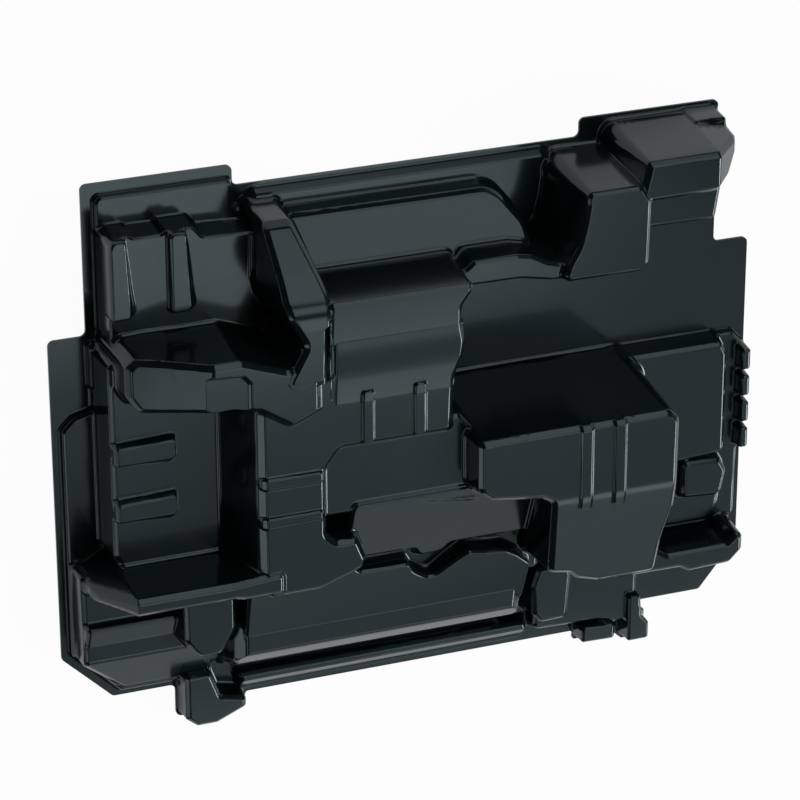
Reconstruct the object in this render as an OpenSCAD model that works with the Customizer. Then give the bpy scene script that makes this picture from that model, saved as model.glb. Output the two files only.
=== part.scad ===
// Formed insert tray for a stacking tool case: one thin sheet drawn over a mould.
// Islands, arms and pads rise from a flat flange and are hollow beneath.
// X runs along the long side and Y towards the edge with the two corner tabs.
// All sizes are measured from the upper face of the flange and the middle line of its lower part.
// The finished tray lies with its underside at z = 0 and its middle at the origin.

/* [Sheet] */
// Width of the tray over its flange
tray_w = 360; // [359:0.5:366]
// Height of the corner tabs above the middle line of the tray
tray_top = 140.5; // [140:0.5:146]
// Thickness of the plastic sheet
sheet = 1.6; // [1.2:0.1:2]
// Draft of the steep walls in degrees
draft = 4; // [3:0.5:5]
// Radius of the upper edges of islands and arms
shoulder_r = 3; // [2:0.1:3.5]
// Radius of the upper edges of pads and ribs
small_r = 1.5; // [1:0.1:1.6]
// Radius of the corners of the flange
flange_r = 3; // [1:0.1:4]

/* [Flange] */
// Depth of the step between the corner tabs and the upper edge
upper_step = 10.5; // [9:0.5:12]
// Height of the notches above the side edges
side_step = 76; // [72:1:80]
// Width of the notches beside the corner tabs
notch_w = 18.5; // [16:0.5:18.5]
// Size of the chamfers on the lower corners
chamfer = 25; // [20:1:26]
// Reach of the foot tabs beyond the lower edge
tab_reach = 12; // [10:0.5:16]

/* [Levels] */
// Height of the narrow step inside the flange
rim_h = 4; // [3:0.5:6]
// Floor height of the upper left bay
bay_upper_h = 19; // [17:0.5:21]
// Floor height of the lower left bay
bay_lower_h = 26; // [24:0.5:28]
// Height of the sloping long bay at its inner side
bay_long_h = 25; // [23:0.5:27]
// Height of the main island
island_h = 57; // [56:0.5:58]
// Height of the island's edge along the long bay
crest_h = 61; // [60:0.5:62]
// Height of the sunk pad in the middle of the island
pad_h = 54; // [53:0.5:55]
// Height of the tool block on the right
block_h = 70; // [68:0.5:73]
// Height of the two left arms
arm_h = 60.5; // [59.5:0.5:62]
// Height of the lower left arm
low_arm_h = 58; // [56:0.5:60]
// Height of the upper right island
corner_h = 46; // [44:0.5:48]
// Height of the saddle between the two islands
saddle_h = 53.5; // [53:0.5:54.5]
// Height of the shelf beneath the upper right island
shelf_h = 25; // [23:0.5:27]
// Height of the upper edge of the lower channel
channel_h = 41; // [40:0.5:42]
// Height of the ledge halfway down the lower channel
ledge_h = 34; // [33:0.5:35]
// Height of the bead along the lower edge
bead_h = 8; // [6:0.5:10]
// Height of the low body at the lower left corner
left_body_h = 19; // [17:0.5:21]
// Height of the flat pad at the right edge
side_pad_h = 14; // [12:0.5:16]
// Height of the lower right block
toe_h = 25; // [22:0.5:26]
// Height of the boss beside the right foot tab
boss_h = 20; // [18:0.5:22]
// Height of the bosses on the foot tabs
tab_boss_h = 12; // [11:0.5:13]
// Height of the boss in the upper right corner
corner_boss_h = 16; // [14:0.5:18]

/* [Ribs] */
// Height of a rib above the face that it stands on
rib_h = 2.4; // [2:0.2:4]
// Width of the thin ribs
rib_w = 3.4; // [3:0.2:4]
// Length of the bumps along the right edge
bump_len = 11; // [9:0.5:12]

/* [Hidden] */
right = tray_w / 2;
left = -right;
// Scale of the layout, whose corners are given for a tray 360 wide
layout = tray_w / 360;
// Half the width of the upper edge between the corner tabs
top_tab_in = 88;
// Height of the hidden ground that joins the islands beneath
floor_h = 30;
// Height at which the sloping ends of two arms start
end_h = 30;
// Height at which the sloping end of the upper left arm starts
arm_end_h = 44;
// How much lower the ground beside the small right pad lies
pad_drop = 6;
// How far a rib's middle stands above its face
rib_rise = rib_h - 1;
// Lower edge of the flange between the foot tabs
low_edge = -140.5;
// Lower edge of the flange at the corners
corner_edge = low_edge + 11;
// Middle of the tray between the corner tabs and the foot tabs
middle_y = (tray_top + low_edge - tab_reach) / 2;
// Arc steps on a wide corner
fine = 2;
// Size of the planes that cut the forms
far = 400;
// How far a hollow reaches out beneath the sheet
below = 1;

// A level face, or one that climbs along X and Y from the height h at a point.
function face(h, at = [0, 0], climb = [0, 0]) =
    [h - layout * (at[0] * climb[0] + at[1] * climb[1]), climb[0], climb[1]];
function height_at(f, p) = f[0] + f[1] * p[0] + f[2] * p[1];

// Offset, inwards at the top edge, of a wall with a rounded shoulder of radius r.
// The wall leans by a, and t is the depth below the top.
function tangent(r, a) = r * tan((90 - a) / 2);
function bend(r, t) = sqrt(max(0, r * r - (r - t) * (r - t)));
function wall_in(a, t, r) = t < r * (1 - sin(a)) ? tangent(r, a) - bend(r, t) : -t * tan(a);

// Corner paths hold [x, y, radius] or [x, y, radius, lean of the wall up to the next corner].
function laid_out(path) =
    [for (p = path) [for (k = [0 : len(p) - 1]) k < 3 ? p[k] * layout : p[k]]];
function edge_lean(p, a) = len(p) > 3 ? p[3] : a;
function along(a, b) = [b[0] - a[0], b[1] - a[1]] / norm([b[0] - a[0], b[1] - a[1]]);
function moved(path, i, a, skin, t, r) =
    let (
        n = len(path),
        before = path[(i + n - 1) % n],
        p = path[i],
        u0 = along(before, p),
        u1 = along(p, path[(i + 1) % n]),
        a0 = edge_lean(before, a),
        a1 = edge_lean(p, a),
        e0 = wall_in(a0, t, r) + skin / cos(a0) - skin * tan(a0),
        e1 = wall_in(a1, t, r) + skin / cos(a1) - skin * tan(a1),
        det = u0[0] * u1[1] - u0[1] * u1[0]
    )
    abs(det) < 0.02 ? [p[0] - u1[1] * e1, p[1] + u1[0] * e1]
    : [p[0] + (u1[0] * e0 - u0[0] * e1) / det, p[1] + (u1[1] * e0 - u0[1] * e1) / det];
function convex(path, i) =
    let (
        n = len(path),
        u0 = along(path[(i + n - 1) % n], path[i]),
        u1 = along(path[i], path[(i + 1) % n])
    )
    u0[0] * u1[1] - u0[1] * u1[0] > 0;

// The arc that rounds the corner p between its neighbours q0 and q1.
function arc(q0, p, q1, r, steps = fine) =
    let (
        ua = along(p, q0),
        ub = along(p, q1),
        half = acos(max(-1, min(1, ua * ub))) / 2,
        reach = min(r / tan(half), 0.48 * norm(q0 - p), 0.48 * norm(q1 - p)),
        middle = half > 89 ? p : p + along([0, 0], ua + ub) * reach / cos(half),
        s = p + ua * reach - middle,
        e = p + ub * reach - middle,
        turn = (s[0] * e[1] - s[1] * e[0] > 0 ? 1 : -1) * (180 - 2 * half)
    )
    half > 89 ? [for (k = [0 : steps]) p + ua * 0.2 * (1 - 2 * k / steps)]
    : [for (k = [0 : steps])
        let (t = turn * k / steps)
        middle + [s[0] * cos(t) - s[1] * sin(t), s[0] * sin(t) + s[1] * cos(t)]];

// One ring of a form, at the depth t below its sloping top or at its foot.
function ring(path, top, a, skin, t, at_foot, r) =
    let (
        n = len(path),
        depth = [for (p = path) at_foot ? height_at(top, p) : t],
        q = [for (i = [0 : n - 1]) moved(path, i, a, skin, depth[i], r)]
    )
    [for (i = [0 : n - 1])
        let (
            d = skin + wall_in(a, depth[i], r),
            wide = path[i][2] > (skin > 0 ? 5 : 3.5)
        )
        each arc(q[(i + n - 1) % n], q[i], q[(i + 1) % n],
            max(0.2, path[i][2] + (convex(path, i) ? -d : d)), wide ? fine : 1)];

// A closed skin through rings of equally many points.
module loft(rings) {
    n = len(rings[0]);
    m = len(rings);
    polyhedron(
        points = [for (one = rings) each one],
        faces = concat(
            [[for (i = [0 : n - 1]) i]],
            [for (k = [0 : m - 2]) for (i = [0 : n - 1])
                let (a = k * n + i, b = k * n + (i + 1) % n)
                each [[a, b + n, b], [a, a + n, b + n]]],
            [[for (i = [n - 1 : -1 : 0]) (m - 1) * n + i]]
        ),
        convexity = 8
    );
}

// One raised form under the face top. With a skin it is the hollow inside the sheet.
module form(corners, top, skin = 0, lean = draft, r = shoulder_r) {
    path = laid_out(corners);
    rr = max(0.4, r - skin);
    turns = skin > 0 ? [1, 0] : [1, 0.55, 0];
    foot = skin > 0 ? -sheet - below : -sheet / 2;
    loft(concat(
        [[for (p = ring(path, top, lean, skin, 0, true, rr)) [p[0], p[1], foot]]],
        [for (k = turns)
            let (t = rr * (1 - sin(lean)) * (1 - cos(90 * k)) * 0.999)
            [for (p = ring(path, top, lean, skin, t, false, rr))
                [p[0], p[1], height_at(top, p) - t - skin]]]
    ));
}

// What lies under a sloping face, to plane off the forms inside it.
module planed(f, skin = 0) {
    drop = skin * norm([f[1], f[2], 1]);
    intersection() {
        children();
        loft([
            [for (p = [[-far, -far], [far, -far], [far, far], [-far, far]]) [p[0], p[1], -far * 3]],
            [for (p = [[-far, -far], [far, -far], [far, far], [-far, far]])
                [p[0], p[1], height_at(f, p) - drop]]
        ]);
    }
}

// A thin rib with round ends, standing through the face beneath it.
module rib(from, to, z, w = rib_w) {
    deep = 3.5 * layout;
    hull() for (p = layout * [from, to]) translate([p[0], p[1], z - deep]) {
        cylinder(h = deep - small_r / 3, r = w / 2, $fn = 8);
        cylinder(h = deep, r = w / 3, $fn = 8);
    }
}

module flange_outline() {
    lower_tab = low_edge - tab_reach;
    path = [
        [left + notch_w, tray_top, flange_r], [left + notch_w, tray_top - side_step, flange_r],
        [left, tray_top - side_step, flange_r], [left, corner_edge + chamfer, flange_r],
        [left + chamfer, corner_edge, flange_r], each left_tab(lower_tab), each right_tab(lower_tab),
        [right - chamfer + 5, corner_edge, flange_r], [right, corner_edge + chamfer, flange_r],
        [right, tray_top - side_step, flange_r], [right - notch_w, tray_top - side_step, flange_r],
        [right - notch_w, tray_top - 1, flange_r], [top_tab_in, tray_top - 1, flange_r],
        [top_tab_in, tray_top - upper_step, flange_r], [-top_tab_in, tray_top - upper_step, flange_r],
        [-top_tab_in, tray_top, flange_r]
    ];
    n = len(path);
    polygon([for (i = [0 : n - 1])
        let (before = path[(i + n - 1) % n], after = path[(i + 1) % n])
        each arc([before[0], before[1]], [path[i][0], path[i][1]], [after[0], after[1]], path[i][2])]);
}

// Edges of the two foot tabs, from the corner edge out to the tab's end and back.
function left_tab(end) = concat(
    [[-123 * layout, corner_edge, flange_r]],
    laid_out([[-123, -147.5, 3], [-117, -147.5, 1]]),
    [[-115.5 * layout, end, 1.5], [-102.5 * layout, end, 1.5]],
    laid_out([[-101, -147, 1], [-88.5, -147, 1.5]]),
    [[-86.5 * layout, low_edge, 1.5]]);
function right_tab(end) = concat(
    [[89.5 * layout, low_edge, 1.5]],
    laid_out([[89.5, -145.5, 1.5], [112, -145.5, 1], [117, -150, 1], [129.3, -150, 1.5]]),
    laid_out([[129.3, -135.5, 1], [126.5, -133, 1], [126.5, -129.5, 1.5]]));

// The narrow raised step inside the flange and the low steps at its edges.
module rims(skin) {
    form([[-155.5, 134.5, 3], [-155.5, 50, 3], [-75, 50, 3], [-75, 112, 3], [-90, 122, 3],
        [-90, 134.5, 2]],
        face(rim_h), skin, 12, 1);
    form([[-161, 62, 2], [-161, 40, 2], [-157, 34, 2], [-157, 30, 2], [-161, 27, 3], [-170, 24.5, 3],
        [-175.5, 19, 4], [-175.5, -101.5, 2], [-151.5, -125.5, 2], [-106, -125.5, 2], [-100, -60, 3],
        [-100, 50, 3], [-140, 62, 2]], face(rim_h), skin, 12, 1);
    form([[-80, 126, 3], [-80, 90, 3], [80, 90, 3], [70, 126, 5]],
        face(rim_h), skin, 30, 1.5);
}

module upper_bay(skin) {
    form([[-154, 118.5, 5], [-154, 58, 3], [-74, 58, 3], [-74, 113, 3], [-109, 114.5, 3],
        [-113, 118.5, 4]],
        face(bay_upper_h), skin, draft, small_r);
    for (x = [-151, -120.5])
        form([[x - 4.5, 123.5, 2], [x - 4.5, 82, 3], [x + 7, 83, 3, 30], [x + 3.5, 124.5, 3]],
            face(bay_upper_h + 2 * rib_h), skin, draft, small_r);
}

module lower_bay(skin) {
    form([[-158.5, 60, 3], [-158.5, -40, 3], [-150, -60, 3], [-85, -60, 3], [-85, 60, 3]],
        face(bay_lower_h), skin, draft, small_r);
    for (y = [14, -15.5])
        form([[-161, y + 5, 2], [-161, y - 6, 2, 30], [-128, y - 3, 3], [-128, y + 5.5, 3]],
            face(bay_lower_h + 2 * rib_h), skin, draft, small_r);
}

module arms(skin) {
    // Upper left arm, with its end falling towards the flange.
    planed(face(arm_end_h, [-150, 0], [0.52, 0]), skin)
        form([[-150.5, 68.5, 3], [-154.5, 64, 3], [-154.5, 49.5, 4], [-149.5, 41.5, 5], [-123, 43, 3],
            [-108.5, 43.5, 4], [-97, 41, 5], [-80, 30, 3], [-66, 36, 3], [-66, 62, 3], [-73, 61, 2],
            [-82, 59.4, 3], [-95, 64, 6], [-104.5, 67.5, 6], [-120, 67.5, 3], [-139, 68.5, 3]],
            face(arm_h), skin);
    // Arm that runs up to the notch of the upper edge.
    planed(face(end_h, [0, 121.5], [0, -0.99]), skin)
        form([[-84, 50, 3], [-60, 50, 3], [-60, 92, 3], [-64, 106, 8], [-69, 121.5, 3],
            [-83.5, 121.5, 3],
            [-82.5, 92, 6], [-80.5, 84, 3], [-73, 70, 5]], face(crest_h), skin);
    // Lower left arm, with its steep end face.
    planed(face(end_h, [-170.5, 0], [2.07, 0]), skin)
        form([[-171.5, -54, 2], [-171.5, -60, 2], [-158.5, -57, 2], [-108.5, -57, 2], [-104, -58, 3],
            [-84, -58, 2], [-84, -46, 3], [-110.5, -48, 3], [-157.6, -48.2, 3]], face(low_arm_h), skin);
}

// The low body below the lower left arm, falling to the chamfered corner.
module left_corner(skin) {
    outline = [[-174, -52, 2], [-173.5, -101, 2], [-151, -123.5, 2], [-112, -123.5, 3],
        [-90, -100, 3], [-90, -52, 3]];
    planed(face(left_body_h, [0, -99], [0, 0.577]), skin)
        form(outline, face(left_body_h), skin, draft, small_r);
    form([[-173, -78, 2], [-173, -92, 3], [-112, -92, 3], [-112, -78, 3]],
        face(left_body_h, [0, -90], [0, 0.46]), skin, draft, small_r);
    form([[-127.5, -62, 3], [-127, -89, 7], [-120, -98.5, 7], [-109, -98.5, 7], [-101.5, -86, 7],
        [-101.5, -62, 3]],
        face(ledge_h), skin, draft, small_r);
}

// The main island: the column on the left, the stepped upper part and the sunk pad.
module island(skin) {
    form([[-95, 62.7, 3, 20], [-94.5, -56, 4], [-91, -60, 3], [-65.7, -60, 5], [-50, -54.5, 4],
        [-44.5, -52, 4],
        [-42.5, -47, 3], [-47, -35.5, 3], [-57.5, -35.5, 4], [-62.7, -31, 4], [-62.7, 4, 6],
        [-55.5, 13.5, 5],
        [1, 13.5, 3], [1.4, 31, 4], [2, 42, 8], [6, 52, 5], [7, 60, 6], [5.5, 68, 8], [5, 78, 6],
        [9, 86, 3], [-60, 86, 3]], face(island_h), skin);
    planed(face(island_h, [0, 35], [0, 0.09]), skin)
        form([[-60, 34, 2], [1.2, 34, 2], [2.3, 42, 8], [6, 52, 5], [7, 60, 6], [5.5, 68, 8],
            [5, 78, 6],
            [9, 86, 3], [-60, 86, 3]], face(island_h + 2), skin);
    form([[-62, 66, 3], [5.9, 66.5, 3], [5.3, 78, 6], [9.5, 86, 3], [15, 93, 4], [5, 89.5, 4],
        [-62, 89.5, 3]],
        face(crest_h, [0, 89], [0, 0.1]), skin);
    form([[-66, 20, 3], [-64, -23, 3], [-41.5, -23, 3], [16, -28, 3], [18, -15, 3], [18, 5, 3],
        [6, 20, 3]],
        face(pad_h), skin, draft, small_r);
    form([[-76, -15, 3], [-76, -48, 3], [-40, -48, 3], [-40, -15, 3]], face(floor_h), skin);
}

// The face below the pad, with the round lobe at its lower edge.
module lower_panel(skin) {
    form([[-49.5, -18, 3], [-49.5, -38, 3], [-40, -56.5, 3], [-11.5, -57, 2], [-8.5, -62.5, 6],
        [4.5, -62.5, 6],
        [7.5, -57, 2], [54, -57, 3], [54, -18, 3]],
        face(pad_h, [0, -23.5], [0, 0.47]), skin, draft, small_r);
    form([[-60, -48, 3], [-60, -84, 3], [58, -84, 3], [58, -48, 3]], face(floor_h), skin);
}

// The long channel along the lower edge, its ledge and the bead in front of it.
module channel(skin) {
    form([[-97, -52, 3], [-97, -96, 3], [47, -96, 3], [50, -78, 4], [44, -70, 6], [33, -62, 6],
        [21, -61.5, 3],
        [14, -68, 8], [2, -74, 10], [-9, -68, 8], [-15, -61.5, 3], [-40, -61.5, 3], [-54, -50, 3]],
        face(channel_h, [0, -61.5], [0, 0.25]), skin, draft, small_r);
    form([[-101, -84, 2], [-101, -101.5, 2, 35], [47, -101.5, 2], [49, -84, 2]],
        face(ledge_h, [0, -90], [0, 0.1]), skin, draft, small_r);
    form([[-93, -126, 1.5], [-91, -132, 2, 35], [62, -131.5, 2], [60, -125.5, 1.5]],
        face(bead_h), skin, draft, small_r);
}

// The tall tool block with its sloping lower half.
module block(skin) {
    planed(face(block_h, [0, -28.5], [0, 0.2]), skin)
        form([[10, 10.5, 3], [10, -16, 6], [17, -21.5, 5], [43, -25, 3], [48, -28, 3], [50, -70.5, 4],
            [61, -72.5, 4], [66, -77, 4], [77, -80.5, 5], [107.5, -80.5, 3], [109, -62, 12],
            [113.5, -42, 10], [114, 6, 5], [109, 11.5, 5]], face(block_h), skin);
}

// The long bay between the upper arm and the upper right island.
module long_bay(skin) {
    form([[-67, 117.5, 4], [-67, 84, 3], [54, 84, 3], [51, 100, 12], [38, 117, 14]],
        face(bay_long_h, [0, 92], [0, -0.4]), skin, draft, small_r);
}

module upper_right(skin) {
    // Saddle between the island and the upper right island.
    form([[-8, 84.3, 3], [12, 84.6, 3], [36, 87, 4], [58, 79.5, 6], [76, 79, 3], [76, 88, 3],
        [59, 87, 3], [45, 94, 8], [34, 98.5, 6], [14, 98, 3], [-8, 87, 3]], face(saddle_h, [38, 0],
            [-0.11, 0]), skin);
    form([[73.5, 121, 3], [73, 110, 8], [70, 94, 8], [64, 85, 6], [60, 78.5, 4], [101, 78, 4],
        [105.5, 82, 4],
        [106, 112, 3], [101, 121, 3]], face(corner_h), skin);
    planed(face(corner_h, [142, 0], [-1.1, 0]), skin)
        form([[99, 104, 3], [107.5, 110.5, 3], [138, 111, 6], [152, 114, 6], [159, 123, 4],
            [159, 131, 3], [104, 131, 4]],
            face(corner_h), skin);
    form([[98, 118, 3], [98, 88, 4], [150.5, 87.5, 3], [153, 104, 3], [152, 118, 3]],
        face(shelf_h), skin, draft, small_r);
    form([[142, 136, 1.5], [142, 122, 2], [159, 122, 2], [159, 136, 2]],
        face(corner_boss_h), skin, draft, small_r);
}

// Pads, bumps and the low block along the right edge.
module right_side(skin) {
    form([[104, 15.2, 2], [104, -50, 3], [165, -46, 4], [165, 9, 4], [162, 15.2, 2]],
        face(side_pad_h), skin, draft, small_r);
    form([[158, 15.2, 2], [158, -88, 3], [176, -88, 3], [176.5, -50, 3], [179, -46, 1], [179, 7, 1],
        [172, 15.2, 2]],
        face(rim_h), skin, 12, 1);
    form([[100, -42, 3], [100, -86, 3], [160, -86, 3], [165, -78, 3], [168, -58, 4], [158, -42, 3]],
        face(side_pad_h - pad_drop), skin, draft, small_r);
    form([[142.5, -48, 3], [142.5, -68.5, 3], [164, -70, 4], [167, -56, 4], [163, -49, 3]],
        face(side_pad_h), skin, draft, small_r);
    form([[100, -86, 3], [100, -101, 3], [138, -101.5, 3], [143, -104.5, 4], [165.5, -103.5, 4],
        [172, -97, 3], [172, -84, 3], [163, -92.5, 4], [130, -92.5, 4], [118, -84, 3]],
        face(toe_h), skin, draft, small_r);
    for (k = [0 : 3]) let (y = 2.6 - 14.4 * k)
        form([[174.5, y + bump_len / 2, 1.5], [174.5, y - bump_len / 2, 1.5],
            [179, y - bump_len / 2, 1.2], [179, y + bump_len / 2, 1.2]],
            face(side_pad_h - 2), skin, draft, 1);
}

// The bosses over the two foot tabs.
module foot_bosses(skin) {
    form([[58.5, -100, 3], [59.5, -116, 4], [64, -121.5, 4], [78, -121, 3], [80, -95, 4],
        [76, -90, 3], [62, -90, 3]],
        face(boss_h), skin, draft, small_r);
    form([[72, -70, 3], [64, -132, 4], [100, -133, 3], [110, -136, 3], [121, -134, 3],
        [122, -98, 3], [116, -70, 3]],
        face(bead_h), skin, draft, small_r);
    form([[-121, -120, 2], [-121, -144, 2], [-115, -149, 2], [-105, -149, 2], [-90, -142.6, 2],
        [-90, -137, 2],
        [-103, -134, 2], [-108, -120, 2]],
        face(tab_boss_h), skin, draft, small_r);
    form([[90, -134, 2], [90, -142, 1.5], [108, -142.5, 1.5], [108, -134, 1.5]],
        face(tab_boss_h), skin, draft, 1);
    form([[115.5, -120, 2], [115.5, -146, 1.5], [127, -146, 1.5], [127, -137, 1], [123, -132, 1],
        [122, -120, 2]],
        face(tab_boss_h), skin, draft, 1);
}

// Thin ribs across the island's fold, the column and the tool block.
module ribs() {
    for (x = [-42.5, -34.5, -18.5, -11])
        rib([x, 36], [x, 14.5], island_h + rib_rise);
    for (x = [62.3, 67.5, 79.7, 84.9])
        rib([x, 8.5], [x, -30], block_h + rib_rise);
    for (y = [1, -19.5])
        rib([-92.3, y], [-66.6, y], island_h + rib_rise, rib_w * 1.6);
}

// Everything that stands above the flange, as the outer face or as the hollow within.
module mould(skin = 0) {
    rims(skin);
    upper_bay(skin);
    lower_bay(skin);
    arms(skin);
    left_corner(skin);
    island(skin);
    lower_panel(skin);
    channel(skin);
    block(skin);
    long_bay(skin);
    upper_right(skin);
    right_side(skin);
    foot_bosses(skin);
}

module insert() {
    color([0.13, 0.15, 0.155]) translate([0, -middle_y, sheet]) difference() {
        union() {
            translate([0, 0, -sheet]) linear_extrude(sheet) flange_outline();
            ribs();
            intersection() {
                mould();
                translate([0, 0, -sheet]) linear_extrude(far) flange_outline();
            }
        }
        mould(sheet);
    }
}

insert();
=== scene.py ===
"""Formed insert tray for a stacking tool case, in glossy black plastic sheet, on a white table.

The tray is one thin sheet drawn over a mould. Its upper face is worked out as a relief: every
island, arm, pad and rib is a form with an outline, a top face, drafted walls, a bevelled edge
and a fillet where it meets what lies beneath it. Sizes are in millimetres up to the finished mesh.
"""

import logging
import math
from dataclasses import dataclass, field
from enum import Enum

import bpy
import numpy as np
from mathutils import Matrix, Vector
from mathutils.kdtree import KDTree

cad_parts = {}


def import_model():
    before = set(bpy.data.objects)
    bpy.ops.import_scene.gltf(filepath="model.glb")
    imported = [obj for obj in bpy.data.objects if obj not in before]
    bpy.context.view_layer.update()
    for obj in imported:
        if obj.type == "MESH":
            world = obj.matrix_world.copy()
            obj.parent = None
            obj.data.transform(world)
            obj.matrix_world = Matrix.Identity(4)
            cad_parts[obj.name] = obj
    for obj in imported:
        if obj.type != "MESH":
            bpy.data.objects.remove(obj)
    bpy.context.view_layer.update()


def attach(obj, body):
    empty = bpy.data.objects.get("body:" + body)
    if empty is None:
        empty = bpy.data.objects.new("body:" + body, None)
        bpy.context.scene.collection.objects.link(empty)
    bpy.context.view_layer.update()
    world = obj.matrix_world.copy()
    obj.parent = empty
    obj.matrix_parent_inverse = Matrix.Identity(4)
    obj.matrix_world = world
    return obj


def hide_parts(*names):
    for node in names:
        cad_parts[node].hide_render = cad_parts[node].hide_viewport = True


log = logging.getLogger("tray")

MM = 0.001  # one millimetre in metres
SHEET_MM = 1.4  # thickness of the formed sheet
SPACING = 0.55  # distance between the points from which the sheet is made
SHIFT = Vector((0.0, 0.006, 0.0016))  # from the middle of the flange's top to the frame's origin
Corner = tuple[float, ...]  # x, y, radius, and where they differ the lean of the wall and its end


# Shapes


@dataclass(frozen=True)
class Face:
    """A level or sloping plane, the top of a form.

    Args:
        height: Height in millimetres at the point (x, y).
        x: Place of that point along X.
        y: Place of that point along Y.
        climb_x: Climb along X, in millimetres per millimetre.
        climb_y: Climb along Y, in millimetres per millimetre.
    """

    height: float
    x: float = 0.0
    y: float = 0.0
    climb_x: float = 0.0
    climb_y: float = 0.0

    def at(self, px: np.ndarray, py: np.ndarray) -> np.ndarray:
        """Height of the plane over the points."""
        return self.height + (px - self.x) * self.climb_x + (py - self.y) * self.climb_y


def soft_min(a: np.ndarray, b: np.ndarray, width: float) -> np.ndarray:
    """Lower of two heights, with the ridge between them rounded over the width."""
    mixed = np.maximum(width - np.abs(a - b), 0.0)
    return np.minimum(a, b) - mixed * mixed / (4.0 * width)


class Outline:
    """Closed path with rounded corners and the lean of the wall under each stretch of it."""

    ARC_STEPS = 7
    REACH = 0.49  # most of a side that one rounded corner may take up
    STRAIGHT = 1.55  # half the angle at a corner, in radians, from which on it isn't rounded

    def __init__(self, corners: list[Corner], lean: float) -> None:
        """Rounds the corners and keeps the path as short straight stretches.

        Args:
            corners: One (x, y, radius) each; a fourth value is the lean up to the next corner,
                and a fifth the lean that it reaches there.
            lean: Lean from the vertical, in degrees, of the walls with no lean of their own.
        """
        points: list[tuple[float, float]] = []
        leans: list[float] = []
        count = len(corners)
        for index, corner in enumerate(corners):
            before, after = corners[index - 1], corners[(index + 1) % count]
            own = corner[3] if len(corner) > 3 else lean
            last = before[-1] if len(before) > 3 else lean
            steps = self.ARC_STEPS if own == last else 4 * self.ARC_STEPS
            arc = self._arc(before, corner, after, steps)
            for step, point in enumerate(arc):
                share = step / max(len(arc) - 1, 1)
                points.append(point)
                leans.append(last + (own - last) * share if step < len(arc) - 1 else own)
        self.points = np.array(points)
        self.leans = np.radians(np.array(leans))

    def _arc(
        self, before: Corner, corner: Corner, after: Corner, steps: int
    ) -> list[tuple[float, float]]:
        """Points of one rounded corner.

        Args:
            before: The corner before it.
            corner: The corner itself, with its radius.
            after: The corner after it.
            steps: Number of stretches in the round.

        Returns:
            The points along the round.
        """
        p = np.array(corner[:2])
        to_before = np.array(before[:2]) - p
        to_after = np.array(after[:2]) - p
        len_before, len_after = np.linalg.norm(to_before), np.linalg.norm(to_after)
        ua, ub = to_before / len_before, to_after / len_after
        half = math.acos(float(np.clip(ua @ ub, -1, 1))) / 2
        if corner[2] <= 0 or half > self.STRAIGHT:
            return [(float(p[0]), float(p[1]))]
        reach = min(corner[2] / math.tan(half), self.REACH * len_before, self.REACH * len_after)
        middle_way = (ua + ub) / np.linalg.norm(ua + ub)
        middle = p + middle_way * reach / math.cos(half)
        start, end = p + ua * reach - middle, p + ub * reach - middle
        side = 1.0 if start[0] * end[1] - start[1] * end[0] > 0 else -1.0
        turn = side * (math.pi - 2 * half)
        made = []
        for step in range(steps + 1):
            t = turn * step / steps
            x = middle[0] + start[0] * math.cos(t) - start[1] * math.sin(t)
            y = middle[1] + start[0] * math.sin(t) + start[1] * math.cos(t)
            made.append((float(x), float(y)))
        return made

    def measure(self, px: np.ndarray, py: np.ndarray) -> tuple[np.ndarray, ...]:
        """Distance of points to the path.

        Args:
            px: X of the points.
            py: Y of the points.

        Returns:
            Distance to the nearest place on the path, positive inside, the lean there, and X and Y
            of the direction that looks inwards from that place.
        """
        best = np.full(px.shape, 1e12)
        lean, in_x, in_y = np.zeros(px.shape), np.zeros(px.shape), np.zeros(px.shape)
        inside = np.zeros(px.shape, bool)
        ends = np.roll(self.points, -1, axis=0)
        later = np.roll(self.leans, -1)
        for (ax, ay), (bx, by), angle, angle_end in zip(self.points, ends, self.leans, later):
            dx, dy = bx - ax, by - ay
            length = dx * dx + dy * dy
            if length < 1e-12:
                continue
            t = np.clip(((px - ax) * dx + (py - ay) * dy) / length, 0.0, 1.0)
            gap = (px - ax - t * dx) ** 2 + (py - ay - t * dy) ** 2
            closer = gap < best
            best = np.where(closer, gap, best)
            in_x = np.where(closer, -dy / math.sqrt(length), in_x)
            in_y = np.where(closer, dx / math.sqrt(length), in_y)
            lean = np.where(closer, angle + (angle_end - angle) * t, lean)
            if ay != by:
                crosses = ((ay > py) != (by > py)) & (px < dx * (py - ay) / dy + ax)
                inside ^= crosses
        distance = np.sqrt(best)
        return np.where(inside, distance, -distance), lean, in_x, in_y


class Way(Enum):
    """How a form meets the sheet: raised to its face, sunk to it, or laid on what is beneath."""

    RAISED = "raised"
    SUNK = "sunk"
    LAID = "laid"

    @property
    def sign(self) -> int:
        """Minus one for a form that is turned over."""
        return -1 if self is Way.SUNK else 1


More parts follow.
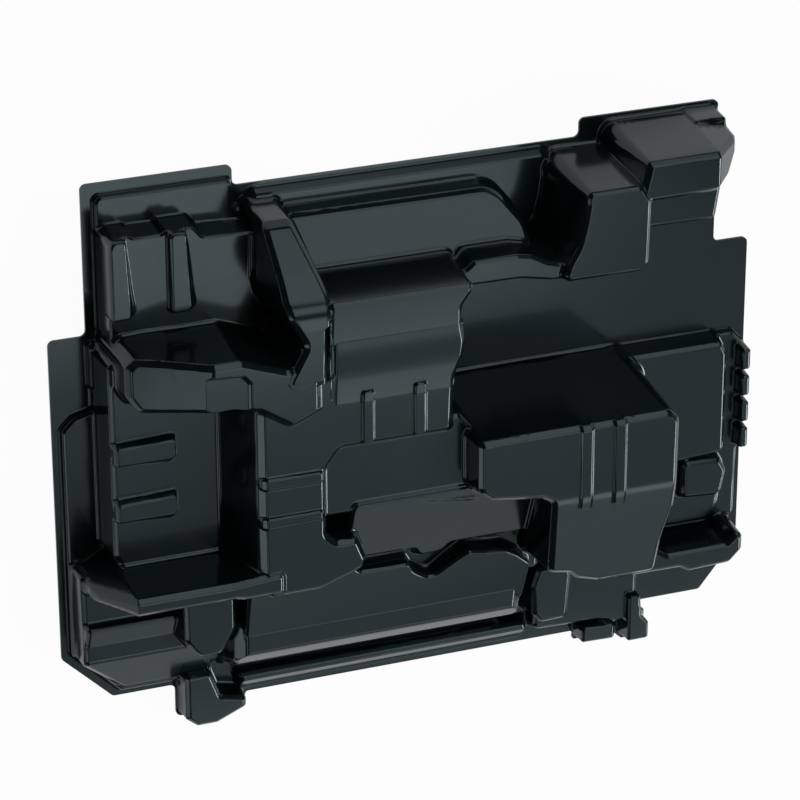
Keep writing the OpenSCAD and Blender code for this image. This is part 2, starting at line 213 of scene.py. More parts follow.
@dataclass
class Form:
    """One raised or sunk form of the relief.

    Args:
        corners: Outline at the sharp upper edge.
        tops: Faces that bound it above; the lowest counts.
        lean: Draft of its walls in degrees.
        shoulder: Width of the bevel along its edge.
        foot: Largest radius where it meets what lies beneath.
        way: Raised, sunk or laid.
        blend: Width over which two top faces are rounded into each other.
    """

    MARGIN = 2.0
    LEAST_RISE = 0.05
    STEEPEST = 0.5  # largest lean, in radians, of a wall whose upper edge is worth pulling straight
    TOP_ROUND = 0.25  # share of the bevel's width that is rounded into the top
    WALL_ROUND = 0.4  # share of the bevel's width that is rounded into the wall
    FOOT_SHARE = 0.42  # most of the wall's height that the fillet at its foot takes up

    corners: list[Corner]
    tops: list[Face]
    lean: float = 4.0
    shoulder: float = 2.2
    foot: float = 2.5
    way: Way = Way.RAISED
    blend: float = 0.8

    def __post_init__(self) -> None:
        """Rounds the outline once."""
        self.outline = Outline(self.corners, self.lean)

    def _top(self, px: np.ndarray, py: np.ndarray) -> np.ndarray:
        """Height of the top over the points, turned over for a sunk form."""
        top = self.tops[0].at(px, py)
        for other in self.tops[1:]:
            top = soft_min(top, other.at(px, py), self.blend)
        return top * self.way.sign

    def _near(self, px: np.ndarray, py: np.ndarray) -> np.ndarray:
        """Marks the points that the form can reach."""
        points = self.outline.points
        tall = max(abs(face.at(x, y)) for face in self.tops for x, y in points) + self.MARGIN
        spread = tall * math.tan(float(self.outline.leans.max()))
        room = spread + self.foot + self.shoulder + self.MARGIN
        low, high = points.min(axis=0) - room, points.max(axis=0) + room
        return (px > low[0]) & (px < high[0]) & (py > low[1]) & (py < high[1])

    def pull(self, px: np.ndarray, py: np.ndarray, spacing: float) -> None:
        """Moves the points next to the upper edge of the wall onto it.

        Args:
            px: X of the points, changed in place.
            py: Y of the points, changed in place.
            spacing: Distance between neighbouring points.
        """
        low, high = self.outline.points.min(axis=0) - 1, self.outline.points.max(axis=0) + 1
        near = np.flatnonzero((px > low[0]) & (px < high[0]) & (py > low[1]) & (py < high[1]))
        gap, lean, in_x, in_y = self.outline.measure(px[near], py[near])
        away = -self.shoulder * np.tan(lean) / (1 - np.tan(lean)) - gap
        reach = spacing * 0.5 * np.maximum(np.abs(in_x), np.abs(in_y))
        close = (np.abs(away) < reach) & (lean < self.STEEPEST)
        px[near[close]] += (away * in_x)[close]
        py[near[close]] += (away * in_y)[close]

    def lay_on(self, px: np.ndarray, py: np.ndarray, ground: np.ndarray) -> None:
        """Raises or sinks the ground where this form lies.

        Args:
            px: X of the points in millimetres.
            py: Y of the points.
            ground: Heights so far, changed in place.
        """
        near = self._near(px, py)
        x, y = px[near], py[near]
        under = np.zeros(x.shape) if self.way is Way.LAID else ground[near] * self.way.sign
        gap, lean, _, _ = self.outline.measure(x, y)
        top = self._top(x, y)
        sine, slope = np.sin(lean), np.tan(lean)
        span = np.tan(math.pi / 4 - lean / 2)
        bevelled = soft_min(top, top - self.shoulder + gap, self.shoulder * self.TOP_ROUND)
        height = soft_min(bevelled, top + gap / slope, self.shoulder * self.WALL_ROUND)
        rise = top - under
        foot = np.clip(rise * self.FOOT_SHARE, 0.01, self.foot)
        past = -gap - rise * slope
        arc = np.sqrt(np.maximum(foot**2 - (foot * span - past) ** 2, 0.0))
        fillet = under + foot - arc
        beside = (past < foot * span) & (past > -foot * (1 - sine) * slope)
        in_fillet = (gap < 0) & beside & (rise > self.LEAST_RISE)
        made = np.maximum(under, np.where(in_fillet, fillet, height))
        ground[near] = ground[near] + made if self.way is Way.LAID else made * self.way.sign

    def peak(self) -> float:
        """Greatest height of the form's edge, for putting the forms in order."""
        points = self.outline.points
        return max(min(float(face.at(x, y)) for face in self.tops) for x, y in points)


def raised(corners: list[Corner], *tops: Face, **sizes: float) -> Form:
    """A raised form under one or more faces."""
    return Form(corners, list(tops), **sizes)


def sunk(corners: list[Corner], *tops: Face, **sizes: float) -> Form:
    """A form sunk down to one or more faces."""
    return Form(corners, list(tops), way=Way.SUNK, **sizes)


def laid(corners: list[Corner], height: float, **sizes: float) -> Form:
    """A form of one height laid on whatever is beneath it."""
    return Form(corners, [Face(height)], way=Way.LAID, **sizes)


SMALL = {"shoulder": 1.8, "foot": 1.8}
FINE = {"shoulder": 1.1, "foot": 1.1}


@dataclass
class Rims:
    """The narrow raised step inside the flange."""

    height: float = 4.0

    def forms(self) -> list[Form]:
        """The steps at the upper left, at the left and behind the long bay."""
        level = Face(self.height)
        size = {"lean": 12.0, "shoulder": 1.0, "foot": 1.0}
        upper = [
            (-155.5, 134.5, 3), (-155.5, 50, 3), (-75, 50, 3), (-75, 112, 3), (-90, 122, 3),
            (-90, 134.5, 2),
        ]
        side = [
            (-161, 62, 2), (-161, 40, 2), (-157, 34, 2), (-157, 30, 2), (-161, 27, 3), (-170, 24.5, 3),
            (-175.5, 19, 4), (-175.5, -101.5, 2), (-151.5, -125.5, 2), (-106, -125.5, 2), (-100, -60, 3),
            (-100, 50, 3), (-140, 62, 2),
        ]
        behind = [(-80, 126, 3), (-80, 90, 3), (80, 90, 3), (70, 126, 5)]
        return [
            raised(upper, level, **size), raised(side, level, **size),
            raised(behind, level, lean=30.0, shoulder=1.5, foot=1.5),
        ]


@dataclass
class UpperBay:
    """The upper left bay with its two wide ribs."""

    floor: float = 19.0
    rib: float = 4.8

    def forms(self) -> list[Form]:
        """Its floor and the ribs on it."""
        floor = [
            (-154.8, 120, 4), (-154.8, 58, 3), (-74, 58, 3), (-74, 113, 3), (-109, 114.5, 3),
            (-113.5, 120, 3), (-126.5, 120, 2), (-129, 118.5, 2), (-142, 118.5, 2), (-145, 120, 2),
        ]
        made = [raised(floor, Face(self.floor), shoulder=0.9, foot=1.5)]
        for x in (-151.0, -121.8):
            rib = [(x - 4, 119.6, 2), (x - 4, 80, 1.5), (x + 6, 80, 3, 30, 5), (x + 4, 119.6, 2)]
            made.append(laid(rib, self.rib, shoulder=0.9, foot=1.2))
        return made


@dataclass
class LowerBay:
    """The lower left bay with its two wide ribs."""

    floor: float = 26.0
    rib: float = 4.8

    def forms(self) -> list[Form]:
        """Its floor and the ribs on it."""
        floor = [(-158.5, 60, 3), (-158.5, -40, 3), (-150, -60, 3), (-85, -60, 3), (-85, 60, 3)]
        made = [raised(floor, Face(self.floor), **SMALL)]
        for y in (14.0, -15.5):
            rib = [(-158, y + 5, 2), (-158, y - 5, 2, 8, 30), (-128, y - 5, 2.5), (-128, y + 6, 2)]
            made.append(laid(rib, self.rib, shoulder=0.9, foot=1.2))
        return made


@dataclass
class Arms:
    """The two left arms and the arm that runs up to the notch."""

    arm: float = 60.5
    recess: float = 1.8
    crest: float = 61.0
    low_arm: float = 58.0

    def forms(self) -> list[Form]:
        """The three arms with their falling ends, and the recess across the upper one."""
        upper = [
            (-150.5, 68.5, 3), (-154.5, 64, 3), (-154.5, 49.5, 4), (-149.5, 41.5, 5), (-123, 43, 3),
            (-108.5, 43.5, 4), (-97, 41, 5), (-80, 30, 3), (-66, 36, 3), (-66, 62, 3), (-73, 61, 2),
            (-82, 59.4, 3), (-95, 64, 6), (-104.5, 67.5, 6), (-120, 67.5, 3), (-139, 68.5, 3),
        ]
        upright = [
            (-84, 50, 3), (-60, 50, 3), (-60, 92, 3), (-64, 106, 8), (-69, 121.5, 3), (-83.5, 121.5, 3),
            (-82.5, 92, 6), (-80.5, 84, 3), (-73, 70, 5),
        ]
        lower = [
            (-171.5, -54, 2), (-171.5, -60, 2), (-158.5, -57, 2), (-108.5, -57, 2), (-104, -58, 3),
            (-84, -58, 2), (-84, -46, 3), (-110.5, -48, 3), (-157, -48, 3),
        ]
        recess = [
            (-127, 34, 1), (-100.5, 34, 1), (-100.5, 56, 3), (-104, 60, 3), (-122, 61, 3),
            (-127, 58, 3),
        ]
        return [
            raised(upper, Face(self.arm), Face(44, -150, 0, 0.52, 0)),
            sunk(recess, Face(self.arm - self.recess), lean=25.0, shoulder=0.8, foot=0.8),
            raised(upright, Face(self.crest), Face(30, 0, 121.5, 0, -0.99), blend=12.0),
            raised(lower, Face(self.low_arm), Face(30, -170.5, 0, 2.07, 0)),
        ]


@dataclass
class LeftCorner:
    """The low body below the lower arm, with the round pad."""

    level: float = 19.0
    pad: float = 34.0

    def forms(self) -> list[Form]:
        """The body, its upper slope and the pad."""
        body = [
            (-174, -52, 2), (-173.5, -101, 2), (-151, -123.5, 2), (-112, -123.5, 3), (-90, -100, 3),
            (-90, -52, 3),
        ]
        slope = [(-173, -78, 2), (-173, -92, 3), (-112, -92, 3), (-112, -78, 3)]
        pad = [
            (-127.5, -62, 3), (-127, -89, 7), (-120, -98.5, 7), (-109, -98.5, 7), (-101.5, -86, 7),
            (-101.5, -62, 3),
        ]
        return [
            raised(body, Face(self.level), Face(self.level, 0, -99, 0, 0.577), **SMALL),
            raised(slope, Face(self.level, 0, -90, 0, 0.46), **SMALL),
            raised(pad, Face(self.pad), **SMALL),
        ]


@dataclass
class Island:
    """The main island: the left column, the stepped upper part and the sunk pad."""

    level: float = 57.0
    crest: float = 61.0
    pad: float = 54.0
    rib: float = 1.4
    under: float = 30.0

    def forms(self) -> list[Form]:
        """The island with its slopes, pad, slot and ribs."""
        edge = [(2, 42, 8), (6, 52, 5), (7, 60, 6), (5.5, 68, 8), (5, 78, 6)]
        column = [
            (-95, 58, 3, 20), (-94.5, -56, 4), (-91, -60, 3), (-65.7, -60, 5), (-50, -54.5, 4),
            (-44.5, -52, 4), (-42.5, -47, 3), (-47, -35.5, 3), (-57.5, -35.5, 4), (-62.7, -31, 4),
            (-62.7, 4, 6), (-55.5, 13.5, 5), (1, 13.5, 2), (1.5, 30, 4), *edge, (9, 86, 3),
            (-66, 86, 3), (-66, 58, 3),
        ]
        step = [(-60, 34, 2), (1.5, 34, 2), *edge, (9, 86, 3), (-60, 86, 3)]
        upper = [
            (-62, 66, 3), (5.5, 67, 3), (5, 78, 6), (9.5, 85, 3), (10, 89.5, 3), (-62, 89.5, 3),
        ]
        pad = [
            (-66, 20, 3), (-64, -23, 3), (-41.5, -23, 3), (16, -28, 3), (18, -15, 3), (18, 5, 3),
            (6, 20, 3),
        ]
        pit = [(-76, -15, 3), (-76, -48, 3), (-40, -48, 3), (-40, -15, 3)]
        groove = [(-61.5, 39, 1.2), (-62.3, 76, 1), (-60.5, 79, 1.2), (-63.5, 77.5, 1.5), (-64.3, 44, 2)]
        made = [
            raised(pit, Face(self.under)),
            raised(pad, Face(self.pad), **SMALL),
            raised(column, Face(self.level)),
            raised(step, Face(self.level + 2), Face(self.level, 0, 35, 0, 0.09)),
            raised(upper, Face(self.crest, 0, 89, 0, 0.1)),
        ]
        for x in (-42.0, -15.8):
            made.append(flat_rib((x, 42), (x, 14), self.rib))
        for y in (1.0, -19.5):
            made.append(flat_rib((-95.5, y), (-65, y), self.rib))
        made.append(sunk(groove, Face(self.level), lean=8.0, shoulder=0.7, foot=0.6))
        return made


def flat_rib(
    start: tuple[float, float], end: tuple[float, float], height: float, width: float = 6.0
) -> Form:
    """A low straight rib with a flat top.

    Args:
        start: One end of its middle line.
        end: The other end.
        height: Height over what is beneath it.
        width: Its width.

    Returns:
        The rib as a form.
    """
    along = Vector(end) - Vector(start)
    side = Vector((-along.y, along.x)).normalized() * width / 2
    a, b = Vector(start), Vector(end)
    ends = [a + side, a - side, b - side, b + side]
    corners = [(float(p.x), float(p.y), width * 0.3) for p in ends]
    return laid(corners, height, lean=10.0, shoulder=0.7, foot=0.8)


@dataclass
class LowerPanel:
    """The falling face below the pad, with the round lobe at its lower edge."""

    top: float = 54.0
    under: float = 30.0

    def forms(self) -> list[Form]:
        """The panel and the low ground in front of it."""
        ground = [(-60, -48, 3), (-60, -84, 3), (58, -84, 3), (58, -48, 3)]
        panel = [
            (-49.5, -18, 3), (-49.5, -38, 3), (-40, -56.5, 3), (-11.5, -57, 2), (-8.5, -62.5, 6),
            (4.5, -62.5, 6), (7.5, -57, 2), (54, -57, 3), (54, -18, 3),
        ]
        return [
            raised(ground, Face(self.under)),
            raised(panel, Face(self.top, 0, -23.5, 0, 0.47), **SMALL),
        ]


@dataclass
class Channel:
    """The long channel along the lower edge, its ledge and the bead before it."""

    top: float = 41.0
    ledge: float = 34.0
    bead: float = 8.0

    def forms(self) -> list[Form]:
        """The upper face with its round notch, the ledge and the bead."""
        face = [
            (-97, -52, 3), (-97, -98, 3), (48, -98, 3), (50.5, -76, 4), (43, -69, 6), (36, -64.5, 5),
            (26, -63.5, 6), (16.5, -61.5, 3), (9, -66, 8), (-3, -74.5, 9), (-12, -68, 8),
            (-15, -62.5, 3), (-40, -62.5, 3), (-54, -50, 3),
        ]
        ledge = [(-101, -84, 2), (-101, -106, 2, 25), (47, -106, 2), (49, -84, 2)]
        bead = [(-93, -126, 1.5), (-91, -132, 2, 35), (62, -131.5, 2), (60, -125.5, 1.5)]
        return [
            raised(face, Face(self.top, 0, -61.5, 0, 0.24), shoulder=1.2, foot=1.8),
            raised(ledge, Face(self.ledge), shoulder=4.8, foot=1.8),
            raised(bead, Face(self.bead), **SMALL),
        ]


@dataclass
class Block:
    """The tall tool block with its falling lower half."""

    top: float = 70.0
    rib: float = 1.4

    def forms(self) -> list[Form]:
        """The block and its two pairs of ribs."""
        block = [
            (10, 10.5, 3), (10, -16, 6), (17, -21.5, 5), (43, -25, 3), (48, -28, 3), (50, -70.5, 4),
            (61, -72.5, 4), (66, -77, 4), (77, -80.5, 5), (107.5, -80.5, 3), (109, -62, 12),
            (113.5, -42, 10), (114, 6, 5), (109, 11.5, 5),
        ]
        made = [raised(block, Face(self.top), Face(self.top, 0, -28.5, 0, 0.2))]
        for x in (64.9, 82.3):
            made.append(flat_rib((x, 12), (x, -34), self.rib))
        return made


@dataclass
class LongBay:
    """The sloping bay between the upright arm and the upper right island."""

    top: float = 25.0

    def forms(self) -> list[Form]:
        """Its floor."""
        floor = [(-67, 117.5, 4), (-67, 84, 3), (54, 84, 3), (51, 100, 12), (38, 117, 14)]
        return [raised(floor, Face(self.top, 0, 92, 0, -0.4), **SMALL)]


@dataclass
class UpperRight:
    """The upper right island, its saddle, shelf and corner boss."""

    top: float = 46.0
    saddle: float = 41.0
    shelf: float = 25.0
    boss: float = 16.0

    def forms(self) -> list[Form]:
        """The forms of that corner."""
        saddle = [
            (0, 79.5, 3), (42, 79, 8), (58, 75.8, 8), (80, 75.8, 3), (80, 84, 3), (66, 83, 4),
            (56, 85.5, 8), (48, 90, 8), (40, 91.5, 4), (18, 91.5, 3), (14, 88, 4), (0, 86, 3),
        ]
        island = [
            (73.5, 120, 3), (73.5, 114, 6), (72.5, 106, 12), (69.5, 93, 12), (64.5, 84, 6),
            (62, 75.5, 4), (102, 75.5, 4), (106, 79.5, 4), (106.5, 112, 3), (101, 120, 3),
        ]
        cheek = [
            (99, 104, 3), (107.5, 110.5, 3), (138, 111, 6), (152, 114, 6), (159, 123, 4),
            (159, 131, 3), (105, 130.5, 2),
        ]
        shelf = [(98, 118, 3), (98, 88, 4), (150.5, 87.5, 3), (153, 104, 3), (152, 118, 3)]
        boss = [(142, 136, 1.5), (142, 122, 2), (159, 122, 2), (159, 136, 2)]
        return [
            raised(saddle, Face(self.saddle), shoulder=1.4),
            raised(island, Face(self.top, 0, 80, 0, 0.02), lean=7.0, shoulder=1.6),
            raised(cheek, Face(self.top), Face(self.top, 142, 0, -1.1, 0), lean=7.0),
            raised(shelf, Face(self.shelf), **SMALL),
            raised(boss, Face(self.boss), **SMALL),
        ]


@dataclass
class RightSide:
    """Pads, bumps and the low block along the right edge."""

    pad: float = 14.0
    rim: float = 4.0
    toe: float = 25.0
    bump: float = 11.0
    first_bump: float = 2.6
    bump_pitch: float = 14.4

    def forms(self) -> list[Form]:
        """The forms of the right edge."""
        wide = [(104, 15.2, 2), (104, -50, 3), (165, -46, 4), (165, 9, 4), (162, 15.2, 2)]
        rim = [
            (158, 15.2, 2), (158, -88, 3), (176, -88, 3), (176.5, -50, 3), (179, -46, 1),
            (179, 7, 1), (172, 15.2, 2),
        ]
        low = [
            (100, -42, 3), (100, -86, 3), (160, -86, 3), (165, -78, 3), (168, -58, 4), (158, -42, 3),
        ]
        small = [(142.5, -48, 3), (142.5, -68.5, 3), (164, -70, 4), (167, -56, 4), (163, -49, 3)]
        toe = [
            (100, -86, 3), (100, -101, 3), (138, -101.5, 3), (143, -104.5, 4), (165.5, -103.5, 4),
            (172, -97, 3), (172, -84, 3), (163, -92.5, 4), (130, -92.5, 4), (118, -84, 3),
        ]
        made = [
            raised(wide, Face(self.pad), **SMALL),
            raised(rim, Face(self.rim), lean=12.0, shoulder=1.0, foot=1.0),
            raised(low, Face(self.pad - 6), **SMALL),
            raised(small, Face(self.pad), **SMALL),
            raised(toe, Face(self.toe), **SMALL),
        ]
        for k in range(4):
            upper = self.first_bump - self.bump_pitch * k + self.bump / 2
            lower = upper - self.bump
            bump = [(174.5, upper, 1.5), (174.5, lower, 1.5), (179, lower, 1.2), (179, upper, 1.2)]
            made.append(raised(bump, Face(self.pad - 2), **FINE))
        return made


@dataclass
class FootBosses:
    """The bosses over the two foot tabs."""

    boss: float = 20.0
    low: float = 8.0
    tab: float = 12.0

    def forms(self) -> list[Form]:
        """The forms of the two tabs."""
        boss = [
            (58.5, -100, 3), (59.5, -116, 4), (64, -121.5, 4), (78, -121, 3), (80, -95, 4),
            (76, -90, 3), (62, -90, 3),
        ]
        low = [
            (72, -70, 3), (64, -132, 4), (100, -133, 3), (110, -136, 3), (121, -134, 3),
            (122, -98, 3), (116, -70, 3),
        ]
        left = [
            (-121, -120, 2), (-121, -144, 2), (-115, -149, 2), (-105, -149, 2), (-90, -142.6, 2),
            (-90, -137, 2), (-103, -134, 2), (-108, -120, 2),
        ]
        lug = [(90, -134, 2), (90, -142, 1.5), (108, -142.5, 1.5), (108, -134, 1.5)]
        stem = [
            (115.5, -120, 2), (115.5, -146, 1.5), (127, -146, 1.5), (127, -137, 1), (123, -132, 1),
            (122, -120, 2),
        ]
        return [
            raised(boss, Face(self.boss), **SMALL), raised(low, Face(self.low), **SMALL),
            raised(left, Face(self.tab), **SMALL), raised(lug, Face(self.tab), **FINE),
            raised(stem, Face(self.tab), **FINE),
        ]


@dataclass
class Flange:
    """The flat flange whose edge bounds the sheet."""

    width: float = 360.0
    top: float = 140.5
    low: float = -140.5
    radius: float = 3.0

    def outline(self) -> np.ndarray:
        """Points along the edge of the sheet."""
        r, right, left = self.radius, self.width / 2, -self.width / 2
        corners = [
            (left + 18.5, self.top, r), (left + 18.5, self.top - 76, r), (left, self.top - 76, r),
            (left, -104.5, r), (left + 25, -129.5, r), (-123, -129.5, r), (-123, -147.5, r),
            (-117, -147.5, 1), (-115.5, self.low - 12, 1.5), (-102.5, self.low - 12, 1.5),
            (-101, -147, 1), (-88.5, -147, 1.5), (-86.5, self.low, 1.5), (89.5, self.low, 1.5),
            (89.5, -145.5, 1.5), (112, -145.5, 1), (117, -150, 1), (129.3, -150, 1.5),
            (129.3, -135.5, 1), (126.5, -133, 1), (126.5, -129.5, 1.5), (right - 20, -129.5, r),
            (right, -104.5, r), (right, self.top - 76, r), (right - 18.5, self.top - 76, r),
            (right - 18.5, self.top - 1, r), (88, self.top - 1, r), (88, self.top - 10.5, r),
            (-88, self.top - 10.5, r), (-88, self.top, r),
        ]
        return Outline(corners, 0.0).points


class Relief:
    """Upper face of the whole sheet as heights over the plane of the flange."""

    def __init__(self, parts: list) -> None:
        """Collects the forms, low ones first.

        Args:
            parts: Sub-assemblies with a forms method.
        """
        forms = [form for part in parts for form in part.forms()]
        rising = [form for form in forms if form.way is Way.RAISED]
        laid_or_sunk = [form for form in forms if form.way is not Way.RAISED]
        self.forms = sorted(rising, key=Form.peak) + laid_or_sunk

    def pull(self, px: np.ndarray, py: np.ndarray, spacing: float) -> None:
        """Moves the points next to an upper edge onto it, so that the edge comes out straight."""
        for form in self.forms:
            form.pull(px, py, spacing)

    def height(self, px: np.ndarray, py: np.ndarray) -> np.ndarray:
        """Height of the upper face over each point, in millimetres."""
        ground = np.zeros(px.shape)
        for form in self.forms:
            form.lay_on(px, py, ground)
        return ground

    def normal(self, px: np.ndarray, py: np.ndarray, step: float = 0.12) -> np.ndarray:
        """Direction that the upper face looks at each point.

        Args:
            px: X of the points.
            py: Y of the points.
            step: Distance over which the slope is measured.

        Returns:
            Unit vectors, one a point.
        """
        slope_x = (self.height(px + step, py) - self.height(px - step, py)) / (2 * step)
        slope_y = (self.height(px, py + step) - self.height(px, py - step)) / (2 * step)
        vectors = np.stack([-slope_x, -slope_y, np.ones(px.shape)], axis=1)
        return vectors / np.linalg.norm(vectors, axis=1)[:, None]


@dataclass
class Tray:
    """The sheet itself: relief, thickness and cut edge as one closed mesh.

    Args:
        relief: Its upper face.
        flange: The flange whose edge bounds it.
        spacing: Distance between the points of the first grid.
        thickness: Thickness of the sheet.
        faces: Triangles of the upper face after thinning.
        across: Span of the grid along X.
        along: Span of the grid along Y.
        prism: Lowest and highest level of the prism that cuts the edge.
        inward: How far inside a triangle its corners' directions are taken.
    """

    relief: Relief
    flange: Flange
    spacing: float
    thickness: float = SHEET_MM
    faces: int = 84000
    across: tuple[float, float] = (-184.0, 184.0)
    along: tuple[float, float] = (-156.0, 144.5)
    prism: tuple[float, float] = (-20.0, 120.0)
    inward: float = 0.2

    def _grid(self) -> tuple[np.ndarray, np.ndarray]:
        """Vertices and quads of the relief over a rectangle round the tray."""
        xs = np.arange(*self.across, self.spacing)
        ys = np.arange(*self.along, self.spacing)
        grid_x, grid_y = (values.ravel() for values in np.meshgrid(xs, ys))
        self.relief.pull(grid_x, grid_y, self.spacing)
        points = np.stack([grid_x, grid_y, self.relief.height(grid_x, grid_y)], axis=1)
        rows, columns = len(ys), len(xs)
        first = (np.arange(rows - 1)[:, None] * columns + np.arange(columns - 1)[None, :]).ravel()
        quads = np.stack([first, first + 1, first + columns + 1, first + columns], axis=1)
        return points, quads

    def _thinned(self, points: np.ndarray, quads: np.ndarray) -> tuple[np.ndarray, np.ndarray]:
        """Fewer triangles for the same face, kept where it bends.

        Args:
            points: Vertices of the fine grid.
            quads: Its faces.

        Returns:
            Vertices and triangles.
        """
        mesh = mesh_from(points, quads, "grid")
        obj = bpy.data.objects.new("grid", mesh)
        bpy.context.scene.collection.objects.link(obj)
        thin = obj.modifiers.new("thin", "DECIMATE")
        thin.ratio = min(1.0, self.faces / (2 * len(quads)))
        done = evaluated(obj)
        done.calc_loop_triangles()
        made = np.empty(len(done.vertices) * 3)
        done.vertices.foreach_get("co", made)
        triangles = np.empty(len(done.loop_triangles) * 3, dtype=np.int64)
        done.loop_triangles.foreach_get("vertices", triangles)
        bpy.data.objects.remove(obj)
        return made.reshape(-1, 3), triangles.reshape(-1, 3)

    def build(self) -> bpy.types.Object:
        """Makes the closed sheet in metres.

        Returns:
            The tray as one object.
        """
        points, triangles = self._thinned(*self._grid())
        log.info("relief: %d triangles", len(triangles))
        looks = self.relief.normal(points[:, 0], points[:, 1])
        below = points - looks * self.thickness
        count = len(points)
        rim = border(triangles)
        sides = np.concatenate([
            np.stack([rim[:, 1], rim[:, 0], rim[:, 0] + count], axis=1),
            np.stack([rim[:, 1], rim[:, 0] + count, rim[:, 1] + count], axis=1),
        ])
        faces = np.concatenate([triangles, triangles[:, ::-1] + count, sides])
        slab = bpy.data.objects.new("slab", mesh_from(np.concatenate([points, below]), faces, "slab"))
        prism = bpy.data.objects.new("prism", self._prism())
        for obj in (slab, prism):
            bpy.context.scene.collection.objects.link(obj)
        cut = slab.modifiers.new("cut", "BOOLEAN")
        cut.operation, cut.solver, cut.object = "INTERSECT", "MANIFOLD", prism
        mesh = evaluated(slab)
        mesh.name = "tray"
        tray = bpy.data.objects.new("tray", mesh)
        bpy.context.scene.collection.objects.link(tray)
        for obj in (slab, prism):
            bpy.data.objects.remove(obj)
        self._smooth(tray, np.concatenate([points, below]), np.concatenate([looks, -looks]))
        mesh.transform(Matrix.Translation(SHIFT) @ Matrix.Scale(MM, 4))
        log.info("tray: %d faces", len(mesh.polygons))
        return tray

    def _prism(self) -> bpy.types.Mesh:
        """Upright prism over the outline of the flange."""
        outline = self.flange.outline()
        count = len(outline)
        low, high = (np.column_stack([outline, np.full(count, z)]) for z in self.prism)
        mesh = bpy.data.meshes.new("prism")
        sides = [(k, (k + 1) % count, (k + 1) % count + count, k + count) for k in range(count)]
        caps = [tuple(range(count - 1, -1, -1)), tuple(range(count, 2 * count))]
        mesh.from_pydata(np.concatenate([low, high]).tolist(), [], sides + caps)
        return mesh

    def _smooth(self, tray: bpy.types.Object, points: np.ndarray, looks: np.ndarray) -> None:
        """Gives each corner of the mesh the true direction of the face it lies on.

        The direction is taken a little inside each upper triangle, so that a crease stays crisp.

        Args:
            tray: The tray, still in millimetres.
            points: Places at which the direction is known.
            looks: The direction at each.
        """
        mesh = tray.data
        tree = KDTree(len(points))
        for index, point in enumerate(points):
            tree.insert(point, index)
        tree.balance()
        nearest = [tree.find(vertex.co)[1] for vertex in mesh.vertices]
        at_vertex = looks[nearest]
        loops = len(mesh.loops)
        owner = np.empty(loops, dtype=np.int64)
        mesh.loops.foreach_get("vertex_index", owner)
        flat = np.empty(len(mesh.polygons) * 3)
        mesh.polygons.foreach_get("normal", flat)
        totals = np.empty(len(mesh.polygons), dtype=np.int64)
        mesh.polygons.foreach_get("loop_total", totals)
        face_normal = np.repeat(flat.reshape(-1, 3), totals, axis=0)
        wanted = at_vertex[owner]
        upper = (face_normal[:, 2] > 0.02) & (np.array(nearest)[owner] < len(points) // 2)
        flat = np.empty(len(mesh.polygons) * 3)
        mesh.polygons.foreach_get("center", flat)
        middle = np.repeat(flat.reshape(-1, 3), totals, axis=0)
        flat = np.empty(len(mesh.vertices) * 3)
        mesh.vertices.foreach_get("co", flat)
        corner = flat.reshape(-1, 3)[owner]
        inner = (corner * (1.0 - self.inward) + middle * self.inward)[upper]
        wanted[upper] = self.relief.normal(inner[:, 0], inner[:, 1], 0.06)
        agrees = (wanted * face_normal).sum(axis=1)
        upright = np.abs(face_normal[:, 2]) < 0.004
        wanted = np.where((upright | (agrees < 0.5))[:, None], face_normal, wanted)
        mesh.polygons.foreach_set("use_smooth", np.ones(len(mesh.polygons), dtype=bool))
        mesh.normals_split_custom_set(wanted.tolist())


def mesh_from(points: np.ndarray, faces: np.ndarray, name: str) -> bpy.types.Mesh:
    """A mesh from arrays of vertices and equal-sized faces.

    Args:
        points: One row a vertex.
        faces: One row a face.
        name: Name of the mesh.

    Returns:
        The new mesh.
    """
    mesh = bpy.data.meshes.new(name)
    size = faces.shape[1]
    mesh.vertices.add(len(points))
    mesh.vertices.foreach_set("co", points.ravel())
    mesh.loops.add(faces.size)
    mesh.loops.foreach_set("vertex_index", faces.ravel())
    mesh.polygons.add(len(faces))
    mesh.polygons.foreach_set("loop_start", np.arange(0, faces.size, size))
    mesh.polygons.foreach_set("loop_total", np.full(len(faces), size))
    mesh.update(calc_edges=True)
    return mesh


def evaluated(obj: bpy.types.Object) -> bpy.types.Mesh:
    """The object's mesh with its modifiers applied."""
    graph = bpy.context.evaluated_depsgraph_get()
    return bpy.data.meshes.new_from_object(obj.evaluated_get(graph), depsgraph=graph)


def border(triangles: np.ndarray) -> np.ndarray:
    """Edges that only one triangle has, in that triangle's order."""
    edges = np.concatenate([triangles[:, [0, 1]], triangles[:, [1, 2]], triangles[:, [2, 0]]])
    keys = np.sort(edges, axis=1)
    _, index, counts = np.unique(keys, axis=0, return_index=True, return_counts=True)
    return edges[index[counts == 1]]


# Finishes


class Expr:
    """A shader value whose operators add Math nodes."""

    def __init__(self, shader: "Shader", socket: bpy.types.NodeSocket) -> None:
        """Wraps an output socket of a shader's tree."""
        self.shader, self.socket = shader, socket

    def _math(self, operation: str, first: "Expr | float", second: "Expr | float") -> "Expr":
        """One Math node on two values."""
        return self.shader.node("ShaderNodeMath", {"operation": operation}, {0: first, 1: second})

    def __add__(self, other: "Expr | float") -> "Expr":
        """Sum of the values."""
        return self._math("ADD", self, other)

    def __sub__(self, other: "Expr | float") -> "Expr":
        """Difference of the values."""
        return self._math("SUBTRACT", self, other)

    def __mul__(self, other: "Expr | float") -> "Expr":
        """Product of the values."""
        return self._math("MULTIPLY", self, other)

    def __rsub__(self, other: "Expr | float") -> "Expr":
        """Difference with a number on the left."""
        return self._math("SUBTRACT", other, self)

    __radd__ = __add__
    __rmul__ = __mul__

    def max(self, other: "Expr | float") -> "Expr":
        """The greater value."""
        return self._math("MAXIMUM", self, other)

